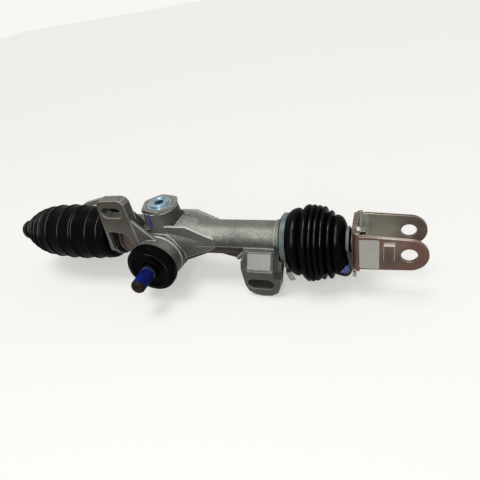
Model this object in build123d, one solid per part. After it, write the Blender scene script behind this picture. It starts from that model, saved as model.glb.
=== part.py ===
from build123d import *
import math
import os

os.makedirs("parts", exist_ok=True)

# Working frame, mm: X along the rack towards the clevis, Z up the yoke axis,
# the steering input points to -Y, and the rack axis under the yoke is (0, 0, 0).
# Everything is moved at export so that the left mounting face's slot centre is the origin.

# rack bar
RACK_R = 10.3
RACK_LEFT = -203.0
RACK_RIGHT = 200.0
SPIGOT_R = 8.4
# gear pair
TEETH = 8
MODULE = 1.75
PRESSURE = 25.0
HELIX = 10.0
PINION_DROP = 11.8
PINION_X = -1.5
BACKLASH = 0.16
PINION_ADD = 1.9
RACK_ADD = 1.25
ROOT_GAP = 0.3
PINION_TOOTH_AT_PITCH = 3.2
PINION_HALF_FACE = 10.8
RACK_TOOTH_COUNT = 20
RACK_TOOTH_FIRST = 2
# housing tube and stub
TUBE_R = 17.6
TUBE_RIGHT = 131.0
COLLAR_R = 18.8
SEAT_R = 22.2
STUB_R = 21.8
STUB_LEFT = -50.0
SEAT_LEFT = -68.0
SEAT_RIGHT = 143.0
BORE_R = 12.4
BUSH_R = 14.0
BUSH_X0 = 108.0
BUSH_X1 = 128.0
# yoke boss
BOSS_TOP = 36.3
BOSS_R_TOP = 19.2
BOSS_R_LOW = 21.2
YOKE_R = 13.0
PLUG_R = 14.0
NUT_FLATS = 36.0
NUT_T = 3.5
NUT_TURN = 46.8
CROWN_R = 11.0
CROWN_TOP = 42.0
# pinion boss
PBOSS_R = 25.0
PBOSS_FRONT = -45.0
PBOSS_RIM = -25.0
BEARING_R = 16.0
BEARING_W = 9.0
BEARING_Y = -14.5
BALL_R = 2.6
BALL_PITCH_R = 11.8
SHAFT_R = 7.5
CAP_R = 27.5
# input serration
SPLINE_R = 7.46
SPLINE_ROOT = 6.85
SPLINE_TEETH = 36
SPLINE_Y0 = -58.5
SPLINE_Y1 = -77.0
TIP_Y = -79.5
PILOT_R = 6.6
# mounting feet
FACE_Y = -33.0
FOOT_T = 12.0
LEFT_SLOT_X = -37.6
LEFT_SLOT_Z = 46.5
RIGHT_FACE_Y = -31.0
RIGHT_SLOT_X = 110.5
RIGHT_SLOT_Z = -37.6
LEFT_SLOT_LONG = 25.0
RIGHT_SLOT_LONG = 28.2
SLOT_WIDE = 12.5
SLOT_BACK = -11.0
# boots
BOOT_WALL = 1.6
BAND_T = 1.4
BAND_W = 5.0
SMALL_BAND_W = 3.2
LEFT_BAND_X = -59.5
RIGHT_BAND_X = 135.6
NECK_R = 12.2
# clevis
CLEVIS_X = 250.0
HOLE_R = 7.05
EAR_R = 16.2
GAP = 37.0
SHEET = 3.2
WEB_X = 201.2
WEB_HALF_Z = 20.5
BEND_R = 6.4
# clearances
SLIP = 0.05
SNUG = 0.03
SOFT = 0.2

BAND_R = SEAT_R + BOOT_WALL + 2 * SOFT + BAND_T
LEFT_SEAT_R = SEAT_R - 1.6
PITCH_R = TEETH * MODULE / 2
RACK_PITCH = math.pi * MODULE
FLAT_Z = -(PINION_DROP - PITCH_R + RACK_ADD)
ROOT_Z = -(PINION_DROP - PITCH_R - PINION_ADD - ROOT_GAP)
TAN_P = math.tan(math.radians(PRESSURE))
TAN_H = math.tan(math.radians(HELIX))


def cyl_x(r, x0, x1, y=0.0, z=0.0):
    return Pos((x0 + x1) / 2, y, z) * Rot(0, 90, 0) * Cylinder(r, abs(x1 - x0))


def cyl_y(r, y0, y1, x=PINION_X, z=-PINION_DROP):
    return Pos(x, (y0 + y1) / 2, z) * Rot(90, 0, 0) * Cylinder(r, abs(y1 - y0))


def cyl_z(r, z0, z1, x=0.0, y=0.0):
    return Pos(x, y, (z0 + z1) / 2) * Cylinder(r, abs(z1 - z0))


def box(x0, x1, y0, y1, z0, z1):
    size = (abs(x1 - x0), abs(y1 - y0), abs(z1 - z0))
    return Pos((x0 + x1) / 2, (y0 + y1) / 2, (z0 + z1) / 2) * Box(*size)


def slab_y(points, y0, y1):
    wire = Polyline(*[(x, y0, z) for x, z in points], close=True)
    return extrude(make_face(wire), amount=y1 - y0, dir=(0, 1, 0))


def slab_x(points, x0, x1):
    wire = Polyline(*[(x0, y, z) for y, z in points], close=True)
    return extrude(make_face(wire), amount=x1 - x0, dir=(1, 0, 0))


def slab_z(points, z0, z1):
    wire = Polyline(*[(x, y, z0) for x, y in points], close=True)
    return extrude(make_face(wire), amount=z1 - z0, dir=(0, 0, 1))


def turn_x(points):
    wire = Polyline(*[(x, r, 0) for x, r in points], close=True)
    return revolve(make_face(wire), axis=Axis.X)


def turn_y(points):
    wire = Polyline(*[(r, y, 0) for y, r in points], close=True)
    return Pos(PINION_X, 0, -PINION_DROP) * revolve(make_face(wire), axis=Axis.Y)


def turn_z(points):
    wire = Polyline(*[(r, 0, z) for z, r in points], close=True)
    return revolve(make_face(wire), axis=Axis.Z)


def ring_x(r0, r1, x0, x1):
    return turn_x([(x0, r0), (x1, r0), (x1, r1), (x0, r1)])


def ring_y(r0, r1, y0, y1):
    return turn_y([(y0, r0), (y1, r0), (y1, r1), (y0, r1)])


def ring_z(r0, r1, z0, z1):
    return turn_z([(z0, r0), (z1, r0), (z1, r1), (z0, r1)])


def slot_y(x, z, long, wide, y0, y1):
    half = (long - wide) / 2
    r = wide / 2
    middle = box(x - half, x + half, y0, y1, z - r, z + r)
    return middle + cyl_y(r, y0, y1, x - half, z) + cyl_y(r, y0, y1, x + half, z)


def hexagon_z(flats, z0, z1, turn=0.0):
    r = flats / math.sqrt(3)
    pts = []
    for i in range(6):
        a = math.radians(turn + 60 * i)
        pts.append((r * math.cos(a), r * math.sin(a)))
    return slab_z(pts, z0, z1)


# ---------------------------------------------------------------- housing


def housing_barrel():
    tube = cyl_x(TUBE_R, -12, TUBE_RIGHT)
    collar = cyl_x(COLLAR_R, TUBE_RIGHT - 5, TUBE_RIGHT)
    right_seat = cyl_x(SEAT_R, TUBE_RIGHT, SEAT_RIGHT)
    stub = cyl_x(STUB_R, STUB_LEFT, -8)
    left_seat = cyl_x(LEFT_SEAT_R, SEAT_LEFT, STUB_LEFT + 1)
    return tube + collar + right_seat + stub + left_seat


def gear_case():
    core = box(-20, 22, -18.5, 18.5, -26, 18)
    cone = turn_x([(8, 0), (8, 23.0), (30, 20.5), (62, TUBE_R), (62, 0)])
    near = [(-10, 21.5), (33, 21.5), (62, 7), (62, -4.4), (20, -20), (-10, -20)]
    far = [(-10, 21.5), (33, 21.5), (62, 7), (62, -6), (20, -20), (-10, -20)]
    webs = slab_y(near, -18.5, -15.6) + slab_y(far, 15.6, 18.5)
    ridge = box(0, 45, 3.4, 6.6, 10, 18.6)
    keel = slab_y(
        [(10, -10), (10, -33), (19, -31), (35, -24.5), (45, -20.3), (62, -20), (80, -25), (96, -32),
         (110, -10)],
        -5,
        5,
    )
    return core + cone + webs + ridge + keel


def yoke_boss():
    return turn_z([(0, 0), (0, BOSS_R_LOW + 1), (12, BOSS_R_LOW), (BOSS_TOP, BOSS_R_TOP), (BOSS_TOP, 0)])


def pinion_boss():
    front = cyl_y(PBOSS_R, PBOSS_FRONT, -14)
    rim = turn_y([(PBOSS_RIM - 0.2, 0), (PBOSS_RIM - 0.2, PBOSS_R + 0.9), (-15, PBOSS_R + 1.6), (-12, 0)])
    rear = turn_y([(-16, 0), (-16, 19.0), (18, 15.0), (29, 13.5), (31, 11.5), (31, 0)])
    return front + rim + rear


def left_foot():
    back = FACE_Y + FOOT_T
    boot_room = cyl_x(SEAT_R + 1.0, SEAT_LEFT, STUB_LEFT - 0.6)
    outline = [
        (-55.7, -0.5),
        (-52.6, 55.0),
        (-51.2, 58.6),
        (-47.5, 60.4),
        (-27.5, 60.9),
        (-23.0, 59.6),
        (-20.2, 55.5),
        (-18.2, 20.0),
        (-17.6, 2.0),
        (-21.0, -5.0),
        (-30.0, -9.0),
        (-36.0, -8.0),
    ]
    plate = slab_y(outline, FACE_Y, back)
    pocket = [
        (-51.4, 23.4),
        (-31.5, 22.2),
        (-27.6, 18.0),
        (-24.0, 6.0),
        (-25.0, -1.0),
        (-31.0, -4.5),
        (-38.0, -14.0),
        (-52.4, -14.0),
        (-52.6, 0.0),
    ]
    plate = plate - slab_y(pocket, FACE_Y - 1, back + 1)
    plate = plate - slot_y(LEFT_SLOT_X, LEFT_SLOT_Z, LEFT_SLOT_LONG, SLOT_WIDE, FACE_Y - 1, back + 1)
    brace = slab_x([(back - 1, 44), (back - 1, 8), (-12, 12), (-8, 20), (-13, 30)], -24.5, -18.8)
    back_rib = slab_x([(back - 1, 36), (back - 1, 14), (-14, 14), (-9, 19)], -50, -19)
    wing_edge = [(-46, 59.6), (-60, 56.4), (-76, 52.4), (-78, 50.6), (-60, 49.8), (-50, 46)]
    wing = slab_y(wing_edge, back - 1.2, back + 1.8)
    web = slab_y([(-20, 37.0), (4.5, 11.0), (4.5, -2), (-20, -8)], FACE_Y + 1.5, FACE_Y + 4.7)
    return (plate + brace + back_rib + wing + web) - boot_room


def right_foot():
    back = RIGHT_FACE_Y + FOOT_T - 1
    outline = [
        (91.0, -12.0),
        (93.5, -40.0),
        (96.5, -47.5),
        (103.0, -51.6),
        (111.0, -53.0),
        (120.0, -52.4),
        (127.5, -48.0),
        (131.0, -40.0),
        (134.0, -22.0),
        (134.0, -12.0),
    ]
    plate = slab_y(outline, RIGHT_FACE_Y, back)
    pad = slab_x(
        [(-22.4, -4), (-32.4, -17.6), (-33.4, -20.2), (-31, -21.8), (-31, -34), (-8, -30), (-6, -12),
         (-19.5, -9)],
        99.0,
        124.6,
    )
    shell = slab_x([(-31, -12), (-31, -30), (-20.5, -34), (-8, -24), (-6, -6), (-18, -2)], 93.0, 132.0)
    recess = slab_x([(-45, -19.2), (-31.2, -19.2), (-20.6, -5.3), (-12, 5.6), (-45, 5.6)], 88.0, 137.0)
    cheek = [(-10, -6), (-18.4, -5), (-31, -14), (-31, -24), (-10, -24)]
    cheeks = slab_x(cheek, 93.0, 96.8) + slab_x(cheek, 127.0, 130.8)
    keep_off = ring_x(SEAT_R + 0.01, BAND_R + BAND_T, RIGHT_BAND_X - BAND_W, SEAT_RIGHT + 2)
    rib = slab_y([(84.5, -13.5), (95.5, -3.8), (98.5, -3.8), (98.5, -6), (87, -15.5)], -20.5, -14)
    lug = slab_x([(-21.4, -2.4), (-23.4, -10.5), (-24.6, -13.0), (-21.5, -13.0), (-14, -4)], 125.6, 128.4)
    boss = slot_y(RIGHT_SLOT_X, RIGHT_SLOT_Z, RIGHT_SLOT_LONG + 7, SLOT_WIDE + 7, back - 1, SLOT_BACK)
    foot = (plate + shell + cheeks) - recess + pad + rib + lug + boss
    front = RIGHT_FACE_Y - 1
    foot = foot - slot_y(RIGHT_SLOT_X, RIGHT_SLOT_Z, RIGHT_SLOT_LONG, SLOT_WIDE, front, SLOT_BACK + 8)
    return foot - keep_off


def housing_bores():
    cuts = cyl_x(BORE_R, SEAT_LEFT - 1, SEAT_RIGHT + 1)
    cuts += cyl_x(BUSH_R, BUSH_X0, SEAT_RIGHT + 1)
    cuts += cyl_x(BUSH_R + 1.0, BUSH_X1 + 0.1, BUSH_X1 + 1.7)
    cuts += cyl_y(BEARING_R, PBOSS_FRONT - 1, BEARING_Y)
    cuts += cyl_y(BEARING_R + 1.0, BEARING_Y - BEARING_W - 1.7, BEARING_Y - BEARING_W - 0.1)
    cuts += cyl_y(10.2, BEARING_Y - 1, 12.0)
    cuts += cyl_y(8.0, 11.0, 26.5)
    cuts += cyl_z(YOKE_R, 0, BOSS_TOP + 1)
    cuts += cyl_z(PLUG_R, 23.5, BOSS_TOP + 1)
    return cuts


def housing():
    body = housing_barrel() + gear_case() + yoke_boss() + pinion_boss() + left_foot() + right_foot()
    return body - housing_bores()


# ---------------------------------------------------------------- gear pair


def involute_point(base, r, start):
    phi = math.acos(base / r)
    a = start + math.tan(phi) - phi
    return a


def pinion_section():
    base = PITCH_R * math.cos(math.radians(PRESSURE))
    inv = TAN_P - math.radians(PRESSURE)
    half = PINION_TOOTH_AT_PITCH / (2 * PITCH_R)
    outer = PITCH_R + PINION_ADD
    root = PITCH_R - RACK_ADD - ROOT_GAP
    pts = []
    for i in range(TEETH):
        mid = 2 * math.pi * (i + 0.5) / TEETH
        flank = [(root, half + inv)]
        for k in range(7):
            r = base + (outer - base) * k / 6
            phi = math.acos(min(1.0, base / r))
            flank.append((r, half + inv - (math.tan(phi) - phi)))
        for r, a in flank:
            pts.append((r * math.sin(mid - a), r * math.cos(mid - a)))
        for r, a in reversed(flank):
            pts.append((r * math.sin(mid + a), r * math.cos(mid + a)))
    return pts


def pinion_gear():
    y0, y1 = -PINION_HALF_FACE, PINION_HALF_FACE
    start = -math.degrees(PINION_HALF_FACE * TAN_H / PITCH_R)
    pts = [(x, y0, z) for x, z in pinion_section()]
    face = (Rot(0, start, 0) * make_face(Polyline(*pts, close=True))).face()
    twist = math.degrees((y1 - y0) * TAN_H / PITCH_R)
    solid = Solid.extrude_linear_with_rotation(face, (0, y0, 0), (0, y1 - y0, 0), twist)
    return Pos(PINION_X, 0, -PINION_DROP) * solid


def pinion_shaft():
    gear = pinion_gear()
    journal = cyl_y(5.4, PINION_HALF_FACE - 1, 25.5)
    shoulder = turn_y([(-9.9, 0), (-10.85, 5.3), (-11.2, 8.6), (BEARING_Y, 8.6), (BEARING_Y, 0)])
    shaft = cyl_y(SHAFT_R, BEARING_Y + 0.5, -54.5)
    neck = cyl_y(6.6, -54, SPLINE_Y0 - 0.2)
    spline = cyl_y(SPLINE_R, SPLINE_Y0, SPLINE_Y1)
    grooves = []
    depth = SPLINE_R - SPLINE_ROOT
    half = math.pi * SPLINE_R / SPLINE_TEETH * 0.62
    for i in range(SPLINE_TEETH):
        cut = slab_y([(-half, 0.3), (0, -depth), (half, 0.3)], SPLINE_Y1 - 0.5, SPLINE_Y0 + 0.5)
        cut = Rot(0, 360 * i / SPLINE_TEETH, 0) * Pos(0, 0, SPLINE_R) * cut
        grooves.append(Pos(PINION_X, 0, -PINION_DROP) * cut)
    spline = spline - grooves
    tip_back = SPLINE_Y1 + 0.4
    tip = turn_y([(tip_back, 0), (tip_back, PILOT_R), (TIP_Y + 0.8, PILOT_R), (TIP_Y, 5.8), (TIP_Y, 0)])
    mouth = TIP_Y - 0.1
    centre = turn_y([(mouth, 0), (mouth, 2.1), (TIP_Y + 2, 0.9), (TIP_Y + 4.5, 0.9), (TIP_Y + 5, 0)])
    groove = ring_y(SHAFT_R - 0.6, SHAFT_R + 1, BEARING_Y - BEARING_W - 1.5, BEARING_Y - BEARING_W - 0.1)
    return gear + journal + shoulder + (shaft - groove) + neck + spline + tip - centre


def rack_bar():
    bar = cyl_x(RACK_R, RACK_LEFT + 11, RACK_RIGHT) + cyl_x(SPIGOT_R, RACK_LEFT, RACK_LEFT + 12)
    x_end = PINION_X + RACK_PITCH * (RACK_TOOTH_FIRST + 0.5)
    x_start = x_end - RACK_PITCH * (RACK_TOOTH_COUNT + 1)
    slant = TAN_H * 12
    bar = bar - box(x_start, x_end, -12, 12, -14, FLAT_Z)
    thick = RACK_PITCH - PINION_TOOTH_AT_PITCH - BACKLASH
    top = thick / 2 + (PINION_ADD + ROOT_GAP) * TAN_P
    low = thick / 2 - (RACK_ADD + 2.0) * TAN_P
    z_low = FLAT_Z - 2.0
    spaces = []
    for i in range(RACK_TOOTH_COUNT + 1):
        c = x_end + RACK_PITCH * (0.5 - i)
        left = c - RACK_PITCH
        pts = [(left + top, ROOT_Z), (c - top, ROOT_Z), (c - low, z_low), (left + low, z_low)]
        wire = Polyline(*[(x - slant, -12, z) for x, z in pts], close=True)
        spaces.append(extrude(make_face(wire), amount=24 / math.cos(math.radians(HELIX)), dir=(TAN_H, 1, 0)))
    bar = bar - spaces
    groove = ring_x(RACK_R - 0.9, RACK_R + 1, 191.6, 193.2)
    socket = turn_x([(RACK_RIGHT + 1, 0), (RACK_RIGHT + 1, 6.0), (176, 6.0), (172, 0)])
    return bar - groove - socket


def rack_bush():
    sleeve = ring_x(RACK_R + SLIP, BUSH_R - SNUG, BUSH_X0 + 0.1, BUSH_X1)
    slits = [Rot(120 * i, 0, 0) * box(BUSH_X0 + 7, BUSH_X1 + 1, -0.8, 0.8, 9, 15) for i in range(3)]
    return sleeve - slits


def open_ring_x(r0, r1, x0, x1, gap):
    return ring_x(r0, r1, x0, x1) - box(x0 - 1, x1 + 1, -gap / 2, gap / 2, -r1 - 1, 0)


def open_ring_y(r0, r1, y0, y1, gap):
    cut = box(-gap / 2, gap / 2, y0 - 1, y1 + 1, 0, r1 + 1)
    return ring_y(r0, r1, y0, y1) - Pos(PINION_X, 0, -PINION_DROP) * cut


def bush_clip():
    return open_ring_x(11.6, BUSH_R + 0.8, BUSH_X1 + 0.3, BUSH_X1 + 1.5, 6)


def ball_place(a, mid):
    x = PINION_X + BALL_PITCH_R * math.cos(a)
    return x, mid, BALL_PITCH_R * math.sin(a) - PINION_DROP


def bearing_rings():
    y1 = BEARING_Y
    y0 = y1 - BEARING_W
    mid = (y0 + y1) / 2
    groove = Pos(PINION_X, mid, -PINION_DROP) * Rot(90, 0, 0) * Torus(BALL_PITCH_R, BALL_R + 0.08)
    outer = ring_y(13.6, BEARING_R - SNUG, y0, y1 - 0.05) - groove
    inner = ring_y(SHAFT_R + SNUG, 10.0, y0, y1 - 0.05) - groove
    balls = []
    for i in range(8):
        a = math.radians(45 * i)
        balls.append(Pos(*ball_place(a, mid)) * Sphere(BALL_R))
    return outer, inner, balls


def bearing_cage():
    y1 = BEARING_Y
    mid = y1 - BEARING_W / 2
    cage = ring_y(10.6, 13.0, mid - 3.0, mid + 1.2)
    centre = Pos(PINION_X, 0, -PINION_DROP)
    for i in range(8):
        cage = cage - centre * Rot(0, -45 * i, 0) * cyl_x(BALL_R + 0.15, 9, 15, mid)
    return cage


def bearing_clip():
    y1 = BEARING_Y - BEARING_W - 0.3
    return open_ring_y(13.4, BEARING_R + 0.8, y1 - 1.2, y1, 7)


def shaft_clip():
    y1 = BEARING_Y - BEARING_W - 0.2
    return open_ring_y(SHAFT_R - 0.5, SHAFT_R + 1.9, y1 - 1.1, y1, 4)


def pinion_seal():
    y0, y1 = -38.0, -31.0
    inner = SHAFT_R + SLIP
    return turn_y(
        [
            (y0, 9.4),
            (y0, BEARING_R - SNUG),
            (y1, BEARING_R - SNUG),
            (y1, 14.2),
            (y0 + 2.0, 13.6),
            (y0 + 2.0, 10.6),
            (y1 - 1.0, 9.2),
            (y1 - 1.4, inner),
            (y0 + 3.0, inner + 0.9),
        ]
    )


def lower_bush():
    return ring_y(5.4 + SLIP, 8.0 - SNUG, 13.0, 25.0)


def dust_cover():
    y = PBOSS_FRONT
    profile = [
        (y + 4.5, PBOSS_R + SOFT),
        (y + 4.5, CAP_R - 0.7),
        (y + 3.6, CAP_R),
        (y - 3.2, CAP_R),
        (y - 4.8, CAP_R - 1.5),
        (y - 5.8, 21.0),
        (y - 6.4, 19.6),
        (y - 5.8, 18.2),
        (y - 4.2, 16.8),
        (y - 4.0, 12.2),
        (y - 4.8, 10.4),
        (y - 9.4, 9.6),
        (y - 9.4, 8.2),
        (y - 8.0, SHAFT_R + SOFT),
        (y - 4.0, SHAFT_R + SOFT),
        (y - 1.6, 10.6),
        (y - 2.0, 16.0),
        (y - 3.2, 19.0),
        (y - 2.6, 22.0),
        (y - SOFT, 23.6),
        (y - SOFT, PBOSS_R + SOFT),
    ]
    return turn_y(profile)


# ---------------------------------------------------------------- yoke


def yoke_plunger():
    body = turn_z(
        [
            (4.2, 0),
            (4.2, YOKE_R - SLIP),
            (14.0, YOKE_R - SLIP),
            (14.0, YOKE_R - 1.7),
            (16.4, YOKE_R - 1.7),
            (16.4, YOKE_R - SLIP),
            (22.4, YOKE_R - SLIP),
            (22.4, 8.4),
            (15.0, 8.4),
            (15.0, 0),
        ]
    )
    return body - cyl_x(RACK_R + 1.0, -14, 14)


def yoke_liner():
    shell = ring_x(RACK_R + SLIP, RACK_R + 1.0 - SNUG, -9.0, 9.0)
    keep = box(-9, 9, -9.5, 9.5, 4.6, 12)
    return shell & keep


def yoke_ring():
    return ring_z(YOKE_R - 1.6, YOKE_R - SLIP, 14.3, 16.1)


def yoke_spring():
    turns, wire, r = 3.0, 1.1, 6.9
    z0, z1 = 15.0 + wire + 0.05, 26.4 - wire - 0.05
    path = Helix(pitch=(z1 - z0) / turns, height=z1 - z0, radius=r)
    start = Plane(origin=path @ 0, z_dir=path % 0)
    return Pos(0, 0, z0) * sweep(start * Circle(wire), path=path)


def adjuster_plug():
    body = turn_z(
        [
            (23.6, 0),
            (23.6, PLUG_R - SLIP),
            (BOSS_TOP + NUT_T - 0.3, PLUG_R - SLIP),
            (BOSS_TOP + NUT_T + 0.3, PLUG_R - 0.7),
            (BOSS_TOP + NUT_T + 0.3, CROWN_R),
            (CROWN_TOP - 0.8, CROWN_R),
            (CROWN_TOP, CROWN_R - 0.9),
            (CROWN_TOP, 8.6),
            (CROWN_TOP - 1.0, 8.0),
            (CROWN_TOP - 1.0, 0),
        ]
    )
    well = cyl_z(8.4, 22, 26.4)
    socket = hexagon_z(10.0, CROWN_TOP - 7, CROWN_TOP + 1, 12)
    return body - well - socket


def adjuster_locknut():
    z0 = BOSS_TOP + 0.05
    nut = hexagon_z(NUT_FLATS, z0, z0 + NUT_T, NUT_TURN)
    top = z0 + NUT_T
    cap = turn_z([(z0 - 1, 0), (z0 - 1, 21.2), (top - 0.8, 21.2), (top, 19.4), (top, 0)])
    bore = PLUG_R + SLIP
    hole = turn_z([(z0 - 1, 0), (z0 - 1, bore), (top - 1, bore), (top + 0.1, 15.2), (top + 0.1, 0)])
    return (nut & cap) - hole


# ---------------------------------------------------------------- boots


def bellows(end_pts, crests, valley_drop, neck_pts, wall):
    outer = list(end_pts)
    for i in range(len(crests)):
        x, r = crests[i]
        if i:
            xp, rp = crests[i - 1]
            outer.append(((x + xp) / 2, min(r, rp) - valley_drop))
        side = 1 if crests[-1][0] > crests[0][0] else -1
        flat = abs(crests[1][0] - crests[0][0]) * 0.16 * side
        outer.append((x - flat, r))
        outer.append((x + flat, r))
    outer += list(neck_pts)
    inner = [(x, r - wall) for x, r in reversed(outer)]
    return outer, inner


def left_boot():
    seat = LEFT_SEAT_R + SOFT
    end = [(-52.5, seat + BOOT_WALL), (-67.5, seat + BOOT_WALL + 0.2)]
    crests = [
        (-76, 30.4),
        (-90, 31.6),
        (-109, 32.5),
        (-128, 32.7),
        (-146, 31.7),
        (-159, 29.6),
        (-168, 26.9),
        (-175.5, 23.7),
        (-182, 20.2),
        (-188.2, 16.6),
    ]
    r = SPIGOT_R + SOFT + BOOT_WALL
    neck = [(-194.5, r), (RACK_LEFT - 0.4, r), (RACK_LEFT - 1.6, r - 1.2), (RACK_LEFT - 1.8, 0)]
    outer, inner = bellows(end, crests, 2.6, neck, BOOT_WALL)
    inner = [p for p in inner if -191 < p[0] < -67.6]
    bore = [
        (RACK_LEFT - SOFT, 0),
        (RACK_LEFT - SOFT, SPIGOT_R + SOFT),
        (RACK_LEFT + 10.8, SPIGOT_R + SOFT),
        (RACK_LEFT + 10.8, RACK_R + SOFT),
    ]
    tail = [(-68.3, seat + 1.0), (-68.3, seat), (-52.5, seat)]
    return turn_x(outer + bore + inner + tail)


def right_boot():
    seat = SEAT_R + SOFT
    end = [
        (TUBE_RIGHT + 1.2, seat + BOOT_WALL),
        (RIGHT_BAND_X + 3.6, seat + BOOT_WALL),
        (RIGHT_BAND_X + 6.4, seat + 5),
    ]
    crests = [
        (148.4, 32.4),
        (157.6, 35.4),
        (163.4, 36.0),
        (168.6, 35.8),
        (174.0, 35.0),
        (180.6, 32.0),
        (188.0, 26.6),
    ]
    neck = [(191.4, NECK_R + 6), (192.0, NECK_R), (199.4, NECK_R)]
    outer, inner = bellows(end, crests, 5.0, neck, BOOT_WALL)
    inner = [p for p in inner if SEAT_RIGHT + 1 < p[0] < 190]
    bore = [(199.4, RACK_R + SOFT), (190.0, RACK_R + SOFT)]
    tail = [(SEAT_RIGHT + 0.5, seat + 1.5), (SEAT_RIGHT + 0.5, seat), (TUBE_RIGHT + 1.2, seat)]
    return turn_x(outer + bore + inner + tail)


def large_band(x, seat, ear_len, turn):
    r0 = seat + SOFT + BOOT_WALL + SOFT
    r1 = r0 + BAND_T
    band = ring_x(r0, r1, x - BAND_W / 2, x + BAND_W / 2)
    ear = box(x - BAND_W / 2, x + BAND_W / 2, -2.6, 2.6, -r1 - 5.0, -r0 - 0.1)
    ear = ear - box(x - BAND_W, x + BAND_W, -1.2, 1.2, -r1 - 3.8, -r1 + 0.1)
    tail = box(x - 1.6, x + 3.6, -0.7, 0.7, -r1 - ear_len, -r1 - 4.6)
    return band + Rot(turn, 0, 0) * (ear + tail)


def small_band(x, neck):
    r0 = neck + SOFT
    half = SMALL_BAND_W / 2
    band = ring_x(r0, r0 + 1.1, x - half, x + half)
    ear = box(x - half, x + half, -2.0, 2.0, -r0 - 3.4, -r0 - 0.1)
    return band + Rot(20, 0, 0) * ear


# ---------------------------------------------------------------- clevis


def ear_plate(y0, y1):
    x_flat = WEB_X + BEND_R
    h = EAR_R + 1.6
    plate = slab_y(
        [(x_flat - 0.5, -h), (x_flat + 4, -h), (CLEVIS_X, -EAR_R), (CLEVIS_X, EAR_R),
         (x_flat + 4, h + 0.8), (x_flat - 0.5, h + 0.8)],
        y0,
        y1,
    )
    return plate + cyl_y(EAR_R, y0, y1, CLEVIS_X, 0)


def clevis():
    half = GAP / 2
    full = half + SHEET
    r_in = BEND_R - SHEET
    web = box(WEB_X, WEB_X + SHEET, -full + BEND_R, full - BEND_R, -WEB_HALF_Z, WEB_HALF_Z)
    bends = []
    for s in (-1, 1):
        yc = s * (full - BEND_R)
        xc = WEB_X + BEND_R
        ring = Pos(xc, yc, 0) * (Cylinder(BEND_R, 2 * WEB_HALF_Z) - Cylinder(r_in, 2 * WEB_HALF_Z + 1))
        far = s * full
        keep = box(WEB_X, xc, min(yc, far), max(yc, far), -WEB_HALF_Z, WEB_HALF_Z)
        bends.append(ring & keep)
    strap = web + bends[0] + bends[1] + ear_plate(-full, -half) + ear_plate(half, full)
    for s in (-1, 1):
        strap = strap - box(WEB_X - 1, WEB_X + BEND_R + 1, s * full - 4, s * full + 4, -30, -WEB_HALF_Z)
    window = box(228.4, 237.8, -full - 1, -half + 0.0, -9.0, 12.7)
    near_only = window & box(220, 240, -full - 1, -half + 1, -12, 14)
    strap = strap - near_only
    bent = [(-half - 0.4, -12.0), (-full + 0.0, -12.0), (-full - 2.8, 12.2), (-half - 3.4, 12.2)]
    tongue = slab_x(bent, 228.6, 237.6)
    top = -WEB_HALF_Z + 1.0
    low = -WEB_HALF_Z - 7.0
    near = -full + 0.2
    tab = [(near, top), (near, low), (near + 2.4, low), (-12.5, top - 0.5), (-12.5, top + 0.5)]
    corner = slab_x(tab, WEB_X, WEB_X + SHEET)
    strap = strap + tongue + corner
    strap = strap - cyl_y(HOLE_R, -full - 1, full + 1, CLEVIS_X, 0)
    return strap - cyl_x(6.2, WEB_X - 1, WEB_X + SHEET + 1)


def stop_plate():
    x1 = WEB_X - 0.02
    plate = box(RACK_RIGHT + 0.02, x1, -13, 17.5, -15, WEB_HALF_Z)
    return plate - cyl_x(6.2, RACK_RIGHT - 1, x1 + 1)


def lock_washer():
    x0 = WEB_X + SHEET + 0.02
    base = cyl_x(11.5, x0, x0 + 1.4)
    tab = box(x0, x0 + 7.5, -4.0, 4.0, 11.6, 13.0)
    lift = box(x0, x0 + 1.4, -4.0, 4.0, 6.0, 13.0)
    return base + tab + lift - cyl_x(6.2, x0 - 1, x0 + 9)


def clevis_bolt():
    x0 = WEB_X + SHEET + 1.46
    head = Rot(0, 90, 0) * hexagon_z(19.0, x0, x0 + 7.5, 0)
    shank = cyl_x(5.95, RACK_RIGHT - 22.0, x0 + 0.5)
    return head + shank


ORIGIN = (LEFT_SLOT_X, FACE_Y, LEFT_SLOT_Z)


def save(name, shape):
    if isinstance(shape, (list, tuple)):
        shape = Compound(children=[s.solid() if hasattr(s, "solid") else s for s in shape])
    moved = Pos(-ORIGIN[0], -ORIGIN[1], -ORIGIN[2]) * shape
    export_step(moved, "parts/" + name + ".step")
    print(name, round(moved.volume / 1000, 2), "cm3", len(moved.solids()), "solids")


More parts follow.
